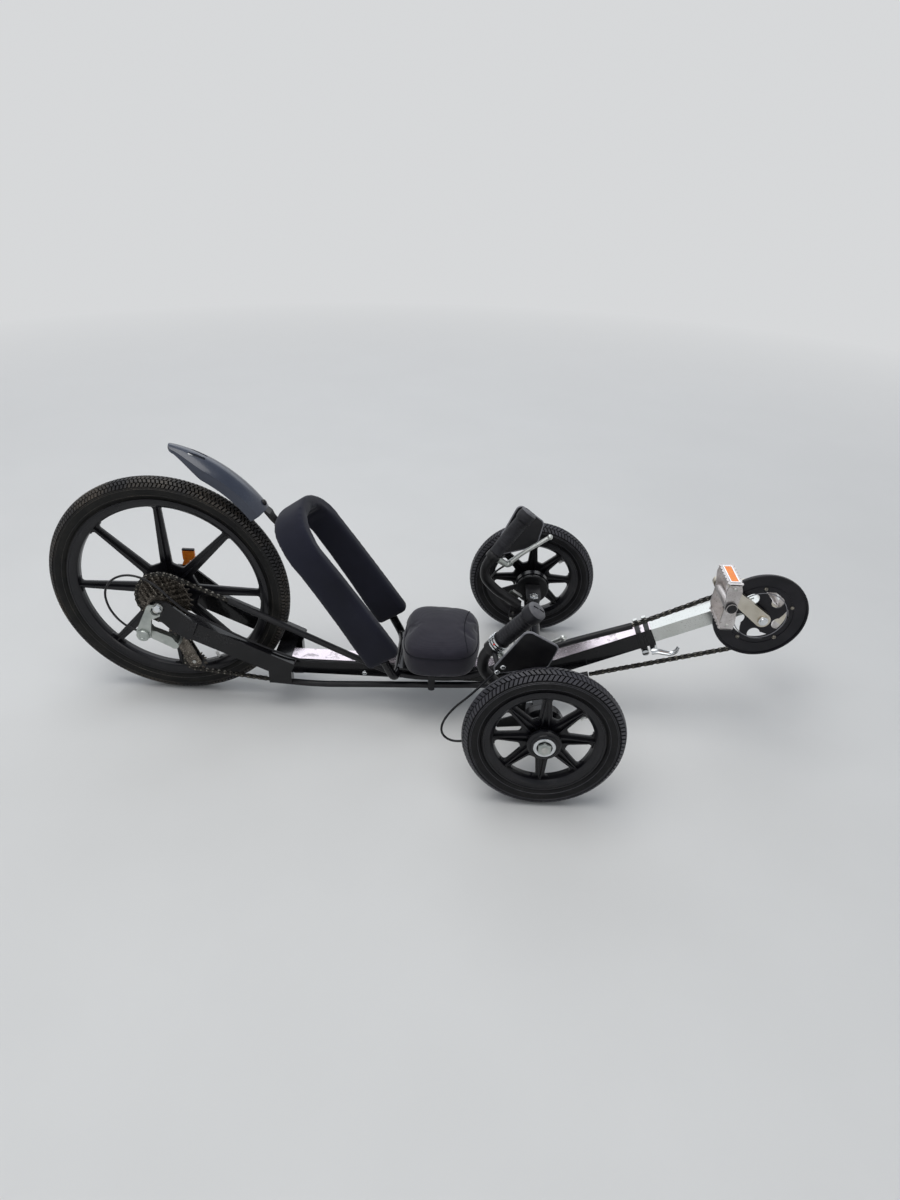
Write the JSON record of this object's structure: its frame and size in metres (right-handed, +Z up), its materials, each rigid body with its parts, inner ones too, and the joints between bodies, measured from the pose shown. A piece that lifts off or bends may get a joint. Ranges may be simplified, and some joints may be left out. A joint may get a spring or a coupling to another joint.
{
  "type": "recumbent tricycle",
  "caption": "Child's recumbent tricycle with two steered front wheels, a chain-driven rear wheel, low padded seat and boom-mounted pedals.",
  "frame": {"origin": "centre of the bounding box on the ground, midway between the rear tyre and the front pedal", "axes": "+X forwards, +Y to the rider's left, +Z up"},
  "size_m": [1.5625, 0.6612, 0.569],
  "materials": {
    "frame_paint": "gloss black paint",
    "bare_aluminium": "brushed",
    "steel": "zinc plated",
    "crank_metal": "satin",
    "black_plastic": "moulded",
    "wheel_plastic": "moulded",
    "grip_rubber": "satin",
    "tyre": "road dust",
    "chain_steel": "oiled",
    "seat_fabric": "woven",
    "cushion_fabric": "faded woven",
    "mudguard_plastic": "satin",
    "reflector_orange": "prismatic"
  },
  "bodies": {
    "frame": {"boom_clamp": "bare_aluminium", "chain": "chain_steel", "chain_tube_lower": "black_plastic", "chain_tube_upper": "black_plastic", "chainstay_left": "frame_paint", "chainstay_right": "frame_paint", "cross_member": "frame_paint", "derailleur_body": "steel", "derailleur_cage": "steel", "freewheel": "chain_steel", "front_boom": "bare_aluminium", "main_boom": "frame_paint", "mudguard": "mudguard_plastic", "mudguard_bracket": "steel", "rear_axle": "steel", "rear_cross_tube": "frame_paint", "reflector": "reflector_orange", "seat_back": "seat_fabric", "seat_cushion": "cushion_fabric", "seat_frame": "frame_paint", "tube_clip": "black_plastic"},
    "steer_right": {"knuckle_right": "frame_paint", "brake_lever_right": "steel", "grip_right": "grip_rubber", "handlebar_right": "frame_paint", "brake_right": "steel", "hand_guard_right": "black_plastic"},
    "steer_left": {"knuckle_left": "frame_paint", "brake_lever_left": "steel", "grip_left": "grip_rubber", "handlebar_left": "frame_paint", "brake_left": "steel", "hand_guard_left": "black_plastic"},
    "tie_rod": {"tie_rod": "steel"},
    "wheel_front_right": {"rim_front_right": "wheel_plastic", "tyre_front_right": "tyre"},
    "wheel_front_left": {"rim_front_left": "wheel_plastic", "tyre_front_left": "tyre"},
    "wheel_rear": {"rim_rear": "wheel_plastic", "tyre_rear": "tyre"},
    "crank": {"chainring": "chain_steel", "guard_disc": "black_plastic", "crank_arms": "crank_metal"},
    "pedal_right": {"pedal_right": "steel"},
    "pedal_left": {"pedal_left": "steel"}
  },
  "joints": [
    {"name": "steer_right", "type": "hinge", "parent": "frame", "child": "steer_right", "pos_m": [0.23974, -0.171, 0.14], "axis": [0, 0, 1], "range_deg": [-25, 25]},
    {"name": "steer_left", "type": "hinge", "parent": "frame", "child": "steer_left", "pos_m": [0.23974, 0.171, 0.14], "axis": [0, 0, 1], "range_deg": [-25, 25]},
    {"name": "tie_rod", "type": "hinge", "parent": "steer_right", "child": "tie_rod", "pos_m": [0.19473, -0.171, 0.1107], "axis": [0, 0, 1], "range_deg": [-25, 25]},
    {"name": "spin_front_right", "type": "hinge", "parent": "steer_right", "child": "wheel_front_right", "pos_m": [0.23974, -0.2938, 0.14992], "axis": [0, -0.9994, 0.0349], "continuous": true},
    {"name": "spin_front_left", "type": "hinge", "parent": "steer_left", "child": "wheel_front_left", "pos_m": [0.23974, 0.2938, 0.14992], "axis": [0, 0.9994, 0.0349], "continuous": true},
    {"name": "spin_rear", "type": "hinge", "parent": "frame", "child": "wheel_rear", "pos_m": [-0.53126, 0, 0.25], "axis": [0, 1, 0], "continuous": true},
    {"name": "crank", "type": "hinge", "parent": "frame", "child": "crank", "pos_m": [0.66773, 0, 0.284], "axis": [0, 1, 0], "continuous": true},
    {"name": "pedal_right", "type": "hinge", "parent": "crank", "child": "pedal_right", "pos_m": [0.56821, 0, 0.36289], "axis": [0, 1, 0], "continuous": true},
    {"name": "pedal_left", "type": "hinge", "parent": "crank", "child": "pedal_left", "pos_m": [0.76726, 0, 0.20511], "axis": [0, 1, 0], "continuous": true}
  ],
  "couplings": [
    {"joint": "steer_left", "follows": "steer_right", "ratio": 1},
    {"joint": "tie_rod", "follows": "steer_right", "ratio": -1}
  ]
}
